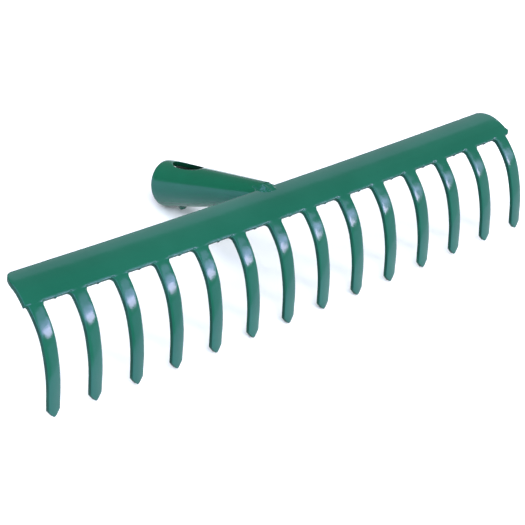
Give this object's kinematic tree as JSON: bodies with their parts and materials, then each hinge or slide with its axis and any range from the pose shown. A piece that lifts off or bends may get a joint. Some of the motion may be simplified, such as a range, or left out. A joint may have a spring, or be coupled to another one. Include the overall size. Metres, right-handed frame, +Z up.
{
  "type": "garden rake head",
  "caption": "Straight rake head pressed from one enamelled steel sheet, with curved pointed teeth and a rolled conical socket welded behind the bar for a wooden handle.",
  "frame": {"origin": "on the ground under the middle of the rake head's bounding box, with the head resting on its tooth tips and the lower rim of the socket mouth", "axes": "+X along the bar, +Y backwards towards the socket mouth, +Z up"},
  "size_m": [0.3646, 0.1188, 0.0535],
  "materials": {
    "green_enamel": "glossy green enamel over pressed steel sheet",
    "socket_enamel": "glossy green enamel over rolled steel sheet",
    "weld_enamel": "glossy green enamel over rough weld beads"
  },
  "bodies": {
    "root": {"rake_head": "green_enamel", "socket": "socket_enamel", "weld_top": "weld_enamel", "weld_under": "weld_enamel"}
  },
  "joints": []
}
